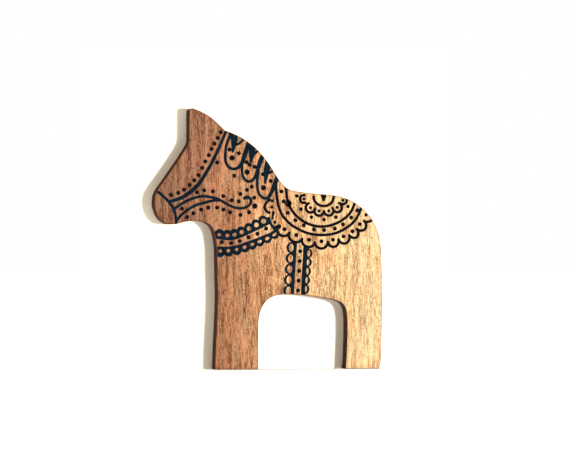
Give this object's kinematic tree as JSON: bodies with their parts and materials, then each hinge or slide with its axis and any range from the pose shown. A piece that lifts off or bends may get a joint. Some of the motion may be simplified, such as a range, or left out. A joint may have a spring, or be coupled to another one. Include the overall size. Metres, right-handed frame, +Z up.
{
  "type": "flat wooden dala horse",
  "caption": "Flat dala horse cut from thin three-ply board, with a hand-inked harness on the front and a small hanging hole under the withers.",
  "frame": {"origin": "on the ground under the middle of the board, between the feet", "axes": "+Z up from the feet to the ear; the nose points to -X and the inked front faces -Y"},
  "size_m": [0.0444, 0.004, 0.05],
  "materials": {
    "face_veneer": "open-grained reddish brown veneer, grain upright, lightly oiled",
    "core": "core ply, grain across the face grain, scorched dark where it is cut",
    "glue": "thin cured glue line, scorched at the edge",
    "ink": "matt blue-black pen ink"
  },
  "bodies": {
    "root": {"front_veneer": "face_veneer", "front_glue_line": "glue", "core_ply": "core", "back_glue_line": "glue", "back_veneer": "face_veneer", "ink_bridle_lines": "ink", "ink_bridle_dots": "ink", "ink_mane_locks": "ink", "ink_mane_dots": "ink", "ink_collar_lines": "ink", "ink_collar_dots": "ink", "ink_saddle_arcs": "ink", "ink_saddle_dots": "ink", "ink_rosette_lines": "ink", "ink_rosette_dots": "ink", "ink_lace_scallops": "ink", "ink_lace_dots": "ink", "ink_girth_lines": "ink", "ink_girth_dots": "ink"}
  },
  "joints": []
}
